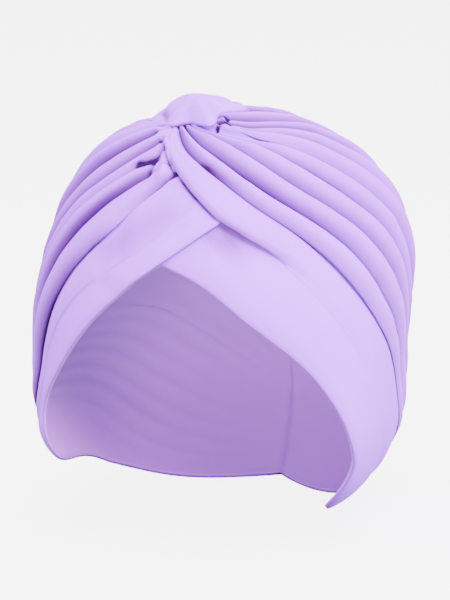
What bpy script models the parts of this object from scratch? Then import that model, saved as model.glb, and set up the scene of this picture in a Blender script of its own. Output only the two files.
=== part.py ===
# Turban: two pleated wraps twisted round each other at the front, and a loop over the twist
import bpy
import numpy as np

# Metres in one millimetre
MM = 0.001

# Head hollow, in millimetres: the surface the cloth rests on
HALF_WIDTH = 80.0
FRONT_DEPTH = 96.0
BACK_DEPTH = 96.0
TOP_HEIGHT = 93.0
LOW_HEIGHT = 93.0
SQUARENESS = 2.3
SQUARENESS_GAIN_LOW = 0.95
NAPE_START = 40.0
NAPE_END = 95.0
NAPE_CENTRE_Y = 30.0
NAPE_TIGHTEN_DEPTH = 0.35
NAPE_TIGHTEN_WIDTH = 0.04

# Twist: the point all folds run to, in degrees from straight up
TWIST_TILT_FRONT = 18.0
TWIST_TILT_SIDE = -8.0

# Cloth, in millimetres
BAND_THICK = 2.2
KNOT_THICK = 4.2
SEAM_THICK = 2.8
GAP = 0.5
LIP_REACH = 0.8
SLOT_HEIGHT = 3.0
SLOT_SHARE = 0.45
SEAM_GAP = 0.3
HEM_BULGE = 0.5
TAIL_THICK = 1.95

# Loop over the twist, in millimetres and degrees
LOOP_DIST = 6.5
LOOP_BEARING = 153.0
LOOP_REACH_RIGHT = 20.0
LOOP_REACH_LEFT = 20.0
LOOP_REACH_FRONT = 14.0
LOOP_REACH_BACK = 22.0
LOOP_UNDER_NEAR = 4.5
LOOP_UNDER_RIGHT = 6.2
LOOP_UNDER_LEFT = 6.9
LOOP_THICK = 6.8
LOOP_RIM = 0.9

# Stations along a fold, from the twist (0) to the seam at the back (1)
STATION = (0.0, 0.12, 0.27, 0.47, 0.70, 0.86, 1.0)
EDGE_STATION = (0.0, 0.12, 0.27, 0.47, 0.70, 0.86, 0.94, 1.0)
PLEAT_DIST = (5.0, 20.0, 40.0, 65.0, 95.0)
STEPS_ALONG = 26

# How far the pleats stand up at each station, as a share of their crest height
RIGHT_SWELL = (0.15, 0.75, 0.90, 1.35, 0.45, 0.35, 0.15)
LEFT_SWELL = (0.05, 1.05, 0.80, 0.95, 0.40, 0.35, 0.15)

# Where the worn cloth stands fuller or lies flatter than the pleats alone. Columns: wrap side,
# centre on the head (right, back, up), radius and added height, all in millimetres
FULLNESS = (
    (1, 77, 20, 42, 28, 3.4),
    (1, 80, 20, -24, 18, -5.0),
    (1, 42, 5, 80, 18, -1.6),
    (-1, -77, -20, 34, 22, -5.2),
    (-1, -60, -20, 66, 18, -1.5),
)

# Face edge of the right wrap, a row per edge station: distance and bearing from the twist
RIGHT_EDGE = (
    (47, -2),
    (55, 14),
    (67, 25),
    (89, 40),
    (116, 46),
    (136, 37),
    (154, 78),
    (161, 180),
)

# Face edge of the left wrap, bearings counted to the other side
LEFT_EDGE = (
    (42, -30),
    (48, -8),
    (62, 19),
    (86, 40),
    (108, 48),
    (130, 81),
    (146, 109),
    (161, 180),
)

# Folds of the right wrap, a row per line from the face edge up to the crown. Columns: name,
# distance where it starts, bearing at the five pleat distances, turn distance, turn bearing,
# seam distance, floor height, crest height, where its crease begins and where it has faded
RIGHT_FOLDS = (
    ("front_fold", 3, -16, 7, 24, 45, 58, 131, 70, 158, 2.2, 6.8, 0.00, 0.42),
    ("crease_2", 3, 14, 24, 40, 57, 69, 129, 92, 155, 3.4, 6.6, 0.00, 1.00),
    ("crease_3", 3, 42, 39, 49, 65, 76, 127, 104, 152, 2.4, 7.4, 0.00, 1.00),
    ("crease_4", 4, 57, 55, 61, 77, 89, 125, 115, 149, 2.6, 7.2, 0.00, 1.00),
    ("crease_5", 5, 68, 65, 76, 88, 99, 123, 126, 146, 3.2, 7.2, 0.00, 1.00),
    ("crease_6", 5, 77, 70, 86, 98, 108, 121, 136, 143, 5.2, 7.4, 0.16, 1.00),
    ("crease_7", 5, 86, 75, 106, 113, 121, 119, 145, 140, 3.6, 6.6, 0.14, 1.00),
    ("crease_8", 5, 96, 85, 121, 127, 133, 117, 153, 137, 3.4, 6.6, 0.04, 1.00),
    ("crease_9", 5, 112, 101, 133, 140, 146, 115, 160, 134, 3.0, 6.6, 0.02, 1.00),
    ("crease_10", 5, 140, 134, 144, 152, 157, 114, 167, 131, 2.8, 6.8, 0.00, 1.00),
    ("back_fold", 5, 162, 158, 160, 165, 169, 113, 174, 129, 3.0, 5.8, 0.00, 1.00),
    ("crown_line", 5, 180, 180, 180, 180, 180, 112, 180, 127, 3.2, 3.2, 0.00, 1.00),
)

# Folds of the left wrap, the same columns, bearings counted to the other side
LEFT_FOLDS = (
    ("band_middle", 34, -23, 2, 27, 41, 49, 127, 96, 158, 2.8, 3.0, 0.30, 0.31),
    ("low_crease", 27, -15, 11, 29, 41, 54, 123, 103, 156, 3.2, 6.2, 0.04, 1.00),
    ("main_crease", 14, 0, 3, 33, 46, 61, 119, 110, 153, 2.8, 6.8, 0.00, 1.00),
    ("pocket_crease", 11, 3, 20, 41, 55, 72, 117, 116, 150, 3.6, 6.4, 0.00, 1.00),
    ("upper_crease", 7.5, 8, 24, 51, 66, 83, 114, 122, 147, 3.0, 7.2, 0.00, 1.00),
    ("shoulder_crease", 5, 18, 43, 60, 77, 93, 112, 128, 144, 2.8, 8.2, 0.00, 1.00),
    ("top_crease", 4, 44, 66, 78, 90, 104, 110, 135, 141, 4.6, 8.8, 0.00, 1.00),
    ("crown_crease", 5, 76, 88, 98, 107, 117, 108, 142, 138, 3.4, 8.2, 0.00, 1.00),
    ("crown_crease_2", 5, 106, 110, 117, 125, 132, 112, 150, 135, 3.4, 7.0, 0.00, 1.00),
    ("crown_crease_3", 5, 134, 134, 138, 143, 147, 110, 158, 132, 3.2, 6.2, 0.00, 1.00),
    ("back_fold", 5, 160, 158, 160, 163, 165, 108, 167, 129, 3.0, 5.8, 0.00, 1.00),
    ("crown_line", 5, 180, 180, 180, 180, 180, 112, 180, 127, 3.2, 3.2, 0.00, 1.00),
)

# Cross-section of one pleat. Columns: share of the way to the next crease, the same where the
# pleat is flat, share of the pleat's height, share of the lip's reach over the pleat below
PLEAT_SECTION = (
    (0.06, 0.02, 0.00, 0.0),
    (0.00, 0.07, 0.55, 1.0),
    (0.05, 0.12, 0.90, 0.1),
    (0.26, 0.26, 1.00, 0.0),
    (0.52, 0.52, 0.88, 0.0),
    (0.78, 0.78, 0.52, 0.0),
    (0.96, 0.96, 0.15, 0.0),
)

# Cross-section of the front fold where the left wrap's tail slides under it: the open slot
# and the same points when the slot has closed to a smooth surface
SLOT_OPEN = (
    (0.96, 0.00),
    (1.04, 0.45),
    (0.96, 0.90),
    (0.30, 1.00),
)
SLOT_SHUT_STEP = 0.03


def smooth(x):
    """Smooth step: 0 below 0, 1 above 1."""
    x = np.clip(x, 0.0, 1.0)
    return x * x * (3.0 - 2.0 * x)


def twist_frame():
    """Unit vectors of the twist: its pole, the way to the wearer's left, the way to the face."""
    tilt = np.radians(TWIST_TILT_FRONT)
    side = np.radians(TWIST_TILT_SIDE)
    pole = np.array([np.sin(side), -np.sin(tilt) * np.cos(side), np.cos(tilt) * np.cos(side)])
    left = np.array([np.cos(side), np.sin(tilt) * np.sin(side), -np.cos(tilt) * np.sin(side)])
    face = np.cross(pole, left)
    if face[2] > 0.0:
        face = -face
    return pole, left, face


def direction(dist, bearing):
    """Unit vector at an angle from the twist and a bearing round it, both in degrees."""
    pole, left, face = twist_frame()
    dist = np.radians(np.asarray(dist, float))[..., None]
    bearing = np.radians(np.asarray(bearing, float))[..., None]
    around = np.cos(bearing) * face + np.sin(bearing) * left
    return np.cos(dist) * pole + np.sin(dist) * around


def head_radius(d):
    """Distance from the head's centre to its surface along unit vectors d."""
    depth = np.where(d[..., 1] < 0.0, FRONT_DEPTH, BACK_DEPTH)
    height = np.where(d[..., 2] > 0.0, TOP_HEIGHT, LOW_HEIGHT)
    power = SQUARENESS + SQUARENESS_GAIN_LOW * smooth(-d[..., 2] / 0.7)
    total = np.abs(d[..., 0] / HALF_WIDTH) ** power
    total = total + np.abs(d[..., 1] / depth) ** power
    total = total + np.abs(d[..., 2] / height) ** power
    return total ** (-1.0 / power)


def head_point(d, height):
    """Point at a height above the head along unit vectors d, drawn in towards the nape below."""
    p = d * (head_radius(d) + height)[..., None]
    low = smooth((-p[..., 2] - NAPE_START) / (NAPE_END - NAPE_START))
    x = p[..., 0] * (1.0 - NAPE_TIGHTEN_WIDTH * low)
    y = NAPE_CENTRE_Y + (p[..., 1] - NAPE_CENTRE_Y) * (1.0 - NAPE_TIGHTEN_DEPTH * low)
    return np.stack([x, y, p[..., 2]], axis=-1)


def through(stations, values, u):
    """Smooth curve through values given at stations, read at each u."""
    t = np.asarray(stations, float)
    v = np.asarray(values, float)
    slope = np.empty_like(v)
    step = np.diff(t)[:, None]
    chord = np.diff(v, axis=0) / step
    slope[1:-1] = (chord[:-1] * step[1:] + chord[1:] * step[:-1]) / (step[:-1] + step[1:])
    slope[0] = chord[0]
    slope[-1] = chord[-1]
    k = np.clip(np.searchsorted(t, u, side="right") - 1, 0, len(t) - 2)
    h = (t[k + 1] - t[k])[:, None]
    s = ((u - t[k]) / (t[k + 1] - t[k]))[:, None]
    first = (2 * s ** 3 - 3 * s ** 2 + 1) * v[k] + (s ** 3 - 2 * s ** 2 + s) * h * slope[k]
    second = (3 * s ** 2 - 2 * s ** 3) * v[k + 1] + (s ** 3 - s ** 2) * h * slope[k + 1]
    return first + second


def unit(v):
    """Vectors scaled to length one."""
    return v / np.linalg.norm(v, axis=-1, keepdims=True)


def line_directions(stations, side, u):
    """Directions along one line at each u; side is 1 for the right wrap, -1 for the left."""
    places = EDGE_STATION if len(stations) == len(EDGE_STATION) else STATION
    table = np.asarray(stations, float)
    pole, left, face = twist_frame()
    d = direction(table[:, 0], side * table[:, 1])
    at_seam = (table[:, 1] == 180.0)[:, None]
    d = d + at_seam * side * left * (0.5 * SEAM_GAP / HALF_WIDTH)
    return unit(through(places, d, u))


def fold_stations(row):
    """The seven distance and bearing pairs of one fold row."""
    start = row[1]
    pairs = []
    for place, bearing in zip(PLEAT_DIST, row[2:7]):
        share = (place - PLEAT_DIST[0]) / (PLEAT_DIST[-1] - PLEAT_DIST[0])
        pairs.append((start + share * (PLEAT_DIST[-1] - start), bearing))
    pairs.append((row[7], row[8]))
    pairs.append((row[9], 180))
    return pairs


def across(lines, place):
    """Directions between neighbouring lines; place counts lines and runs along the last axis."""
    place = np.clip(place, 0.0, lines.shape[1] - 1.0)
    low = np.clip(np.floor(place).astype(int), 0, lines.shape[1] - 2)
    share = (place - low)[..., None]
    row = np.arange(lines.shape[0])[:, None]
    return unit(lines[row, low] * (1.0 - share) + lines[row, low + 1] * share)


def widths(lines):
    """Distance in millimetres between neighbouring lines at each step along them."""
    points = head_point(lines, np.full(lines.shape[:2], 4.0))
    return np.linalg.norm(np.diff(points, axis=1), axis=-1)


def swell(u, start, left):
    """How far the pleats have risen at each u, level where the line starts."""
    shares = np.array(LEFT_SWELL if left else RIGHT_SWELL)[:, None]
    return through(STATION, shares, u)[:, 0] * smooth((u - start) / 0.09)


def level_heights(row, u, left):
    """Floor and crest heights of one fold row at each u, and how far its crease shows."""
    floor, crest, begins, fades = row[10:14]
    rise = swell(u, begins if left else -0.02, left)
    knot = BAND_THICK + GAP + TAIL_THICK if left else KNOT_THICK
    base = knot + (SEAM_THICK - knot) * smooth(u / 0.9)
    crest_now = base + (crest - base) * rise
    floor_now = base + (floor - base) * np.minimum(rise, 1.0)
    shown = smooth((u - begins + 0.06) / 0.06) if begins > 0.0 else np.ones_like(u)
    if fades < 1.0:
        shown = shown * (1.0 - smooth((u - fades + 0.10) / 0.10))
    return floor_now, crest_now, shown


def wrap_outside(lines, table, side, u):
    """Places across the lines and heights of the outer side, from the face hem to the crown."""
    left = side < 0
    count = len(table)
    wide = widths(lines)
    floors = []
    crests = []
    for row in table:
        floor, crest, shown = level_heights(row, u, left)
        floors.append((floor, shown))
        crests.append(crest)
    places = []
    heights = []

    def put(place, height):
        places.append(np.broadcast_to(place, u.shape).copy())
        heights.append(np.broadcast_to(height, u.shape).copy())

    lift = tail_lift(lines[:, 0], side)
    band = BAND_THICK + 0.0 * u
    if left:
        band = np.maximum(lift + TAIL_THICK, BAND_THICK)
    put(-HEM_BULGE / np.maximum(wide[:, 0], 1.0), lift + 0.5 * (band - lift))
    put(0.02, band)
    for share in (0.30, 0.62):
        covered = 0.04 if left else 0.05 + 0.27 * share
        put(share, band + 0.6 * smooth((u - covered) / 0.15))
    if left:
        put(0.86, band + 0.3 * smooth((u - 0.04) / 0.15))
        first = 0
    else:
        slot_points(put, lines, table, floors, crests, wide, u)
        first = 1
    for i in range(first, count - 1):
        floor, shown = floors[i]
        crest = crests[i]
        below = crests[i - 1] if i > 0 else band + 0.5
        level = np.minimum(below, crest)
        low = floor * shown + (level - 0.15) * (1.0 - shown)
        tall = np.minimum(crest - low, 0.62 * wide[:, i + 1])
        low = crest - tall if i == 0 else low
        next_floor, next_shown = floors[i + 1]
        next_low = next_floor * next_shown + (crest - 0.15) * (1.0 - next_shown)
        ends = smooth(u / 0.04) * smooth((1.0 - u) / 0.08)
        risen = np.clip((crest - low) / 2.5, 0.0, 1.0) * ends
        reach = np.minimum(LIP_REACH, 0.08 * np.minimum(wide[:, i], wide[:, i + 1])) * risen
        for share, flat, rise, hang in PLEAT_SECTION:
            place = i + 1 + share * risen + flat * (1.0 - risen) - hang * reach / wide[:, i]
            if share < 0.4:
                height = low + rise * tall
            else:
                height = next_low + rise * (low + tall - next_low)
            put(place, height)
    end_floor = floors[-1][0]
    put(count - 0.02, end_floor)
    put(count + 0.0 * u, 0.5 * end_floor)
    return np.stack(places, axis=1), np.stack(heights, axis=1)


def slot_points(put, lines, table, floors, crests, wide, u):
    """Slot and front fold of the right wrap, put one point after another."""
    fold = smooth((u - 0.01) / 0.08) * (1.0 - smooth((u - 0.30) / 0.14))
    merge = smooth((u - 0.34) / 0.12)
    roof = BAND_THICK + 0.25 + (SLOT_HEIGHT - 0.25) * fold
    top = crests[0] * (1.0 - merge) + (BAND_THICK + 1.0) * merge
    top = np.maximum(top, roof + 0.6)
    put(0.86, BAND_THICK + 0.2 * smooth((u - 0.29) / 0.15))
    for k, (share, rise) in enumerate(SLOT_OPEN):
        opened = 1.0 + SLOT_SHARE * share
        shut = 1.0 + SLOT_SHUT_STEP * (k + 1)
        put(opened * fold + shut * (1.0 - fold), BAND_THICK + rise * (roof - BAND_THICK))
    nose = 1.0 - LIP_REACH / wide[:, 0]
    put(nose * fold + 1.20 * (1.0 - fold), roof + 0.40 * (top - roof))
    put(1.05 * fold + 1.27 * (1.0 - fold), roof + 0.86 * (top - roof))
    put(1.35, top)
    put(1.62, top * 0.95)
    next_floor, next_shown = floors[1]
    put(1.84, next_floor + 0.52 * (top - next_floor))
    put(1.97, next_floor + 0.15 * (top - next_floor))


def fuller(d, height, side):
    """Heights changed where the worn cloth stands fuller or lies flatter, thin edges kept."""
    at = head_point(d, np.zeros(height.shape))
    share = np.clip((height - 1.0) / 5.0, 0.0, 1.0)
    for wrap, x, y, z, radius, added in FULLNESS:
        if wrap == side:
            away = np.sum((at - np.array([x, y, z])) ** 2, axis=-1)
            height = height + added * share * np.exp(-0.5 * away / radius ** 2)
    return height


def tail_lift(d, side):
    """Height of the inner side over the head: the left wrap's tail rides over the right band."""
    if side > 0:
        return np.zeros(d.shape[:-1])
    pole, left, face = twist_frame()
    across_mm = -(d @ left) * 92.0
    down = d @ face
    near = smooth((down + 0.02) / 0.10)
    return (BAND_THICK + GAP) * (1.0 - smooth((across_mm - 4.2) / 13.0)) * near


def wrap_solid(name, edge, table, side, color):
    """One pleated wrap as a closed solid: outer side, inner side and the four edges."""
    u = np.linspace(0.0, 1.0, STEPS_ALONG)
    u = u ** 1.25
    lines = [line_directions(edge, side, u)]
    for row in table:
        lines.append(line_directions(fold_stations(row), side, u))
    lines = np.stack(lines, axis=1)
    place, height = wrap_outside(lines, table, side, u)
    outer_dir = across(lines, place)
    outside = head_point(outer_dir, fuller(outer_dir, height, side))
    fine = 1.0 if side > 0 else 3.0
    inner_place = np.concatenate([np.arange(0.0, fine, 0.25), np.arange(fine, lines.shape[1] - 1.0)])
    inner_place = np.concatenate([inner_place, [lines.shape[1] - 1.0]])
    inner_place = np.broadcast_to(inner_place, (len(u), len(inner_place)))
    inner_dir = across(lines, inner_place)
    inside = head_point(inner_dir, tail_lift(inner_dir, side))
    loop = np.concatenate([outside, inside[:, ::-1]], axis=1)
    rings, count = loop.shape[:2]
    faces = []
    for i in range(rings - 1):
        for j in range(count):
            k = (j + 1) % count
            a = i * count + j
            b = i * count + k
            c = (i + 1) * count + k
            d = (i + 1) * count + j
            faces.append((a, b, c) if side < 0 else (a, c, b))
            faces.append((a, c, d) if side < 0 else (a, d, c))
    outer_count = outside.shape[1]
    for ring, turn in ((0, side > 0), (rings - 1, side < 0)):
        for tri in end_cap(outer_count, inside.shape[1], place[ring], inner_place[ring]):
            tri = tuple(ring * count + n for n in tri)
            faces.append(tri if turn else tri[::-1])
    return add_object(name, loop.reshape(-1, 3), faces, color)


def end_cap(outer_count, inner_count, outer_place, inner_place):
    """Triangles closing one end, between the outer points and the inner points."""
    total = outer_count + inner_count
    tris = []
    i = 0
    j = 0
    while i < outer_count - 1 or j < inner_count - 1:
        inner_now = total - 1 - j
        step_outer = j == inner_count - 1
        if i < outer_count - 1 and j < inner_count - 1:
            step_outer = outer_place[i + 1] <= inner_place[j + 1]
        if step_outer:
            tris.append((i, i + 1, inner_now))
            i += 1
        else:
            tris.append((i, inner_now - 1, inner_now))
            j += 1
    return tris


def loop_solid(name, color):
    """The loop over the twist: a soft cushion of cloth with a rounded rim and a hollow underside."""
    around = 28
    rings = 7
    pole, left, face = twist_frame()
    centre = direction(LOOP_DIST, LOOP_BEARING)
    back = unit(-face + (face @ centre) * centre)
    side = unit(left - (left @ centre) * centre - (left @ back) * back)
    angle = np.linspace(0.0, 2.0 * np.pi, around, endpoint=False)
    reach_x = np.where(np.cos(angle) > 0.0, LOOP_REACH_RIGHT, LOOP_REACH_LEFT)
    reach_y = np.where(np.sin(angle) > 0.0, LOOP_REACH_BACK, LOOP_REACH_FRONT)
    radius = (np.abs(np.cos(angle)) / reach_x) ** 2.3 + (np.abs(np.sin(angle)) / reach_y) ** 2.3
    radius = radius ** (-1.0 / 2.3) / head_radius(centre[None])[0]

    def ring(share, over):
        d = centre + (np.cos(angle) * radius * share)[:, None] * side
        d = unit(d + (np.sin(angle) * radius * share)[:, None] * back)
        away = np.degrees(np.arccos(np.clip(d @ pole, -1.0, 1.0)))
        turn = smooth(0.5 + 4.0 * (d - pole) @ left)
        far = LOOP_UNDER_LEFT + (LOOP_UNDER_RIGHT - LOOP_UNDER_LEFT) * turn
        under = LOOP_UNDER_NEAR + (far - LOOP_UNDER_NEAR) * smooth(away / 15.0)
        return head_point(d, under + over)

    points = [ring(0.0, LOOP_THICK)[:1]]
    for share in np.sin(np.linspace(0.0, 0.5 * np.pi, rings + 1))[1:]:
        rise = max(1.0 - share ** 2.6, 0.0) ** 0.55
        points.append(ring(share, LOOP_RIM + (LOOP_THICK - LOOP_RIM) * rise))
    points.append(ring(0.94, 0.0))
    points.append(ring(0.60, 0.0))
    points.append(ring(0.30, 0.0))
    points.append(ring(0.0, 0.0)[:1])
    verts = np.concatenate(points)
    faces = []
    ring_count = rings + 3
    end = 1 + (ring_count - 1) * around
    for j in range(around):
        k = (j + 1) % around
        faces.append((0, 1 + j, 1 + k))
        for r in range(ring_count - 1):
            a = 1 + r * around + j
            b = 1 + r * around + k
            faces.append((a, a + around, b + around))
            faces.append((a, b + around, b))
        faces.append((end + k, end + j, len(verts) - 1))
    return add_object(name, verts, faces, color)


def add_object(name, verts, faces, color):
    """Mesh object in metres with its own material."""
    mesh = bpy.data.meshes.new(name)
    mesh.from_pydata([tuple(float(c) * MM for c in v) for v in verts], [], [tuple(f) for f in faces])
    mesh.update()
    material = bpy.data.materials.new(name + "_cloth")
    material.use_nodes = True
    shader = material.node_tree.nodes["Principled BSDF"]
    shader.inputs["Base Color"].default_value = color
    shader.inputs["Roughness"].default_value = 0.8
    mesh.materials.append(material)
    obj = bpy.data.objects.new(name, mesh)
    bpy.context.collection.objects.link(obj)
    return obj


def main():
    """Clear the scene and build the three pieces."""
    for obj in list(bpy.data.objects):
        bpy.data.objects.remove(obj, do_unlink=True)
    wrap_solid("right_wrap", RIGHT_EDGE, RIGHT_FOLDS, 1, (0.66, 0.53, 0.92, 1.0))
    wrap_solid("left_wrap", LEFT_EDGE, LEFT_FOLDS, -1, (0.68, 0.53, 0.90, 1.0))
    loop_solid("twist_loop", (0.68, 0.55, 0.93, 1.0))


main()
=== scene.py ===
import bpy
import numpy as np
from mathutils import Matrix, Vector


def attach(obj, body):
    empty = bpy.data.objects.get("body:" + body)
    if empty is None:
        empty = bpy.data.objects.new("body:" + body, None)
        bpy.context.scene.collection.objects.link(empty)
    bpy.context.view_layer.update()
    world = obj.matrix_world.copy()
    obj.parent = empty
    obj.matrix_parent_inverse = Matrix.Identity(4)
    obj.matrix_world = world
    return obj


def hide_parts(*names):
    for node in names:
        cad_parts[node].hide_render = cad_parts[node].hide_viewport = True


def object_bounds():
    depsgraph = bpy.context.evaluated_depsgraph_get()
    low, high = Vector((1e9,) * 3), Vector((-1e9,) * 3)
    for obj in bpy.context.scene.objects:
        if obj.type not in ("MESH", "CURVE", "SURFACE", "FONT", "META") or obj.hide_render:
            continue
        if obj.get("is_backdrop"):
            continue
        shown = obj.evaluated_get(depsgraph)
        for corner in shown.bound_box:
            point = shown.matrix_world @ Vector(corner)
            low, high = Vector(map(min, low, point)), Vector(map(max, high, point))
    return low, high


bl_info = {
    "name": "Twist Turban",
    "version": (1, 0, 0),
    "blender": (4, 5, 0),
    "location": "View3D > Sidebar > Turban",
    "description": "Pleated twist turban of stretch knit, made around its CAD frame",
    "category": "Add Mesh",
}

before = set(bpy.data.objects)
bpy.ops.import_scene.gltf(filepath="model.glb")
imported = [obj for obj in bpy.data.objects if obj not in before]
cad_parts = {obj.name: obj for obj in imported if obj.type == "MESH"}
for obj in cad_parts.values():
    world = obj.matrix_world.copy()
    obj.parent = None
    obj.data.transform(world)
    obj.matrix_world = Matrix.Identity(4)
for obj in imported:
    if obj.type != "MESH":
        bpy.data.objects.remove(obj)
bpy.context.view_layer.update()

# Metres in one millimetre; the tables below are in millimetres and degrees where they name no unit
MM = 0.001

# Head hollow: the surface the cloth rests on
HALF_WIDTH = 80.0
FRONT_DEPTH = 96.0
BACK_DEPTH = 96.0
TOP_HEIGHT = 93.0
LOW_HEIGHT = 93.0
SQUARENESS = 2.3
SQUARENESS_GAIN_LOW = 0.95
SQUARENESS_RAMP = 0.7
NAPE_START = 40.0
NAPE_END = 95.0
NAPE_CENTRE_Y = 30.0
NAPE_TIGHTEN_DEPTH = 0.35
NAPE_TIGHTEN_WIDTH = 0.04

# Twist: the point all folds run to, tilted from straight up
TWIST_TILT_FRONT = 18.0
TWIST_TILT_SIDE = -8.0

# Cloth of the wraps
KNOT_THICK = 4.2
SEAM_THICK = 2.8
GAP = 0.5
SLOT_HEIGHT = 3.0
SLOT_SHARE = 0.45
SEAM_GAP = 0.06
HEM_BULGE = 0.5
TAIL_THICK = 1.95
LOWEST_FLOOR = 1.1

# Size of one radian of direction at the twist and at the left wrap's tail
TWIST_RADIUS = 96.0
TAIL_RADIUS = 92.0

# How far past the middle of the face the left wrap's tail lies on the right band, how long it
# takes to come down from it, and the stretch from the crown to the face in which it does so
TAIL_EDGE = 4.2
TAIL_SLOPE = 13.0
TAIL_NEAR = (-0.02, 0.08)

# A pleat's height and its lip's reach, as shares of the width it has, and the width below which
# its creases look wider
TALLEST_SHARE = 0.68
LIP_SHARE = 0.13
PLAIN_WIDTH = 9.0

# Height over the head at which the width of a pleat is measured
WIDTH_HEIGHT = 4.0

# How tall a pleat is when its crease is at its deepest, its lip at its longest, and its painted
# crease shade at its fullest, and how far a line without a crease lies below its pleat
FULL_CREASE = 3.0
FULL_LIP = 2.5
FULL_PAINTED_SHADE = 1.6
PLAIN_DIP = 0.15

# Shares of a fold's length: how far ahead of its crease a pleat starts to rise and how long it
# takes, the ramp in which the crease comes and goes, and the way from the twist's thickness to the
# seam's
RISE_LEAD_RIGHT = 0.03
RISE_LEAD_LEFT = 0.08
RISE_LENGTH = 0.09
CREASE_RAMP_RIGHT = 0.06
CREASE_RAMP_LEFT = 0.02
CREASE_FADE = 0.10
KNOT_LENGTH = 0.9

# Shares of a length in which something grows at one end and fades at the other: the sway of the
# pleats, their lips, the unevenness of the cloth, the inner gathers and each small dent
SWAY_ENDS = (0.2, 0.2)
LIP_ENDS = (0.04, 0.08)
UNEVEN_ENDS = (0.03, 0.06)
GATHER_ENDS = (0.2, 0.1)
DENT_ENDS = (0.25, 0.25)

# Sway of the pleats: waves along a fold, and how far the wave moves on from fold to fold
SWAY_WAVES = 2.1
SWAY_SHIFT = 0.37

# Stations along a fold and along the face edge, from the twist (0) to the seam at the back (1)
STATION = (0.0, 0.12, 0.27, 0.47, 0.70, 0.86, 1.0)
EDGE_STATION = (0.0, 0.12, 0.27, 0.47, 0.70, 0.86, 0.94, 1.0)

# Distances from the twist at which the fold tables give a bearing, stretched to begin at each
# fold's own start
PLEAT_DIST = (5.0, 20.0, 40.0, 65.0, 95.0)

# Steps along the folds, the power that crowds them towards the twist, steps between two control
# points across the folds, and steps across one inner gather
STEPS_ALONG = 222
STEPS_CROWDED = 1.25
STEPS_ACROSS = 3
STEPS_INSIDE = 5

# How far the pleats stand up at each station, as a share of their crest height
RIGHT_SWELL = (0.60, 0.98, 0.98, 1.35, 0.62, 0.52, 0.24)
LEFT_SWELL = (0.60, 1.12, 0.88, 0.98, 0.58, 0.52, 0.24)

# Where the worn cloth stands fuller or lies flatter than the pleats alone. Columns: wrap side,
# centre on the head (right, back, up), radius and added height
FULLNESS = (
    (1, 77, 20, 42, 28, 3.4),
    (1, 80, 20, -24, 20, -6.6),
    (1, 42, 5, 80, 20, -3.2),
    (-1, -77, -20, 34, 24, -6.6),
    (-1, -60, -20, 66, 18, -1.5),
)

# Heights of the cloth between which the fullness, and the unevenness, comes in: none below the
# first, and all of it above the second
FULLNESS_HEIGHTS = (1.0, 9.0)
UNEVEN_HEIGHTS = (1.6, 3.6)

# Thinnest cloth under a dent and in a crease, and how far from the hem that has rounded off
DENT_FLOOR = 1.0
CREASE_FLOOR = 1.5
HEM_ROUND = 0.05

# Face edge of the right wrap, a row per edge station: distance and bearing from the twist
RIGHT_EDGE = (
    (47, -2),
    (55, 14),
    (67, 25),
    (89, 40),
    (116, 46),
    (136, 37),
    (154, 78),
    (161, 180),
)

# Face edge of the left wrap, bearings counted to the other side
LEFT_EDGE = (
    (42, -30),
    (48, -8),
    (62, 19),
    (86, 40),
    (108, 48),
    (130, 81),
    (146, 109),
    (161, 180),
)

# Folds of the right wrap, a row per line from the face edge up to the crown. Columns: name,
# distance where it starts, bearing at the five pleat distances, turn distance, turn bearing,
# seam distance, floor height, crest height, where its crease begins and where it has faded
RIGHT_FOLDS = (
    ("front_fold", 3, -16, 7, 24, 45, 58, 131, 70, 158, 2.2, 6.8, 0.00, 0.42),
    ("crease_2", 3, 14, 24, 40, 59, 75, 128, 95, 155, 3.4, 6.6, 0.00, 1.00),
    ("crease_3", 3, 42, 38, 49, 68, 84, 127, 104, 152, 2.4, 7.4, 0.00, 1.00),
    ("crease_4", 4, 57, 55, 61, 79, 95, 125, 115, 149, 2.6, 7.2, 0.00, 1.00),
    ("crease_5", 5, 68, 65, 75, 89, 103, 123, 126, 146, 3.2, 7.2, 0.00, 1.00),
    ("crease_6", 5, 77, 70, 86, 99, 111, 121, 136, 143, 5.2, 7.4, 0.16, 1.00),
    ("crease_7", 5, 86, 75, 106, 113, 121, 119, 145, 140, 3.6, 6.6, 0.14, 1.00),
    ("crease_8", 5, 96, 85, 121, 127, 133, 117, 153, 137, 3.4, 6.6, 0.04, 1.00),
    ("crease_9", 5, 112, 101, 133, 140, 146, 115, 160, 134, 3.0, 6.6, 0.02, 1.00),
    ("crease_10", 5, 140, 134, 144, 152, 157, 114, 167, 131, 2.8, 6.8, 0.00, 1.00),
    ("back_fold", 5, 162, 158, 160, 165, 169, 113, 174, 129, 3.0, 5.8, 0.00, 1.00),
    ("crown_line", 5, 180, 180, 180, 180, 180, 112, 180, 127, 3.2, 3.2, 0.00, 1.00),
)

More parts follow.
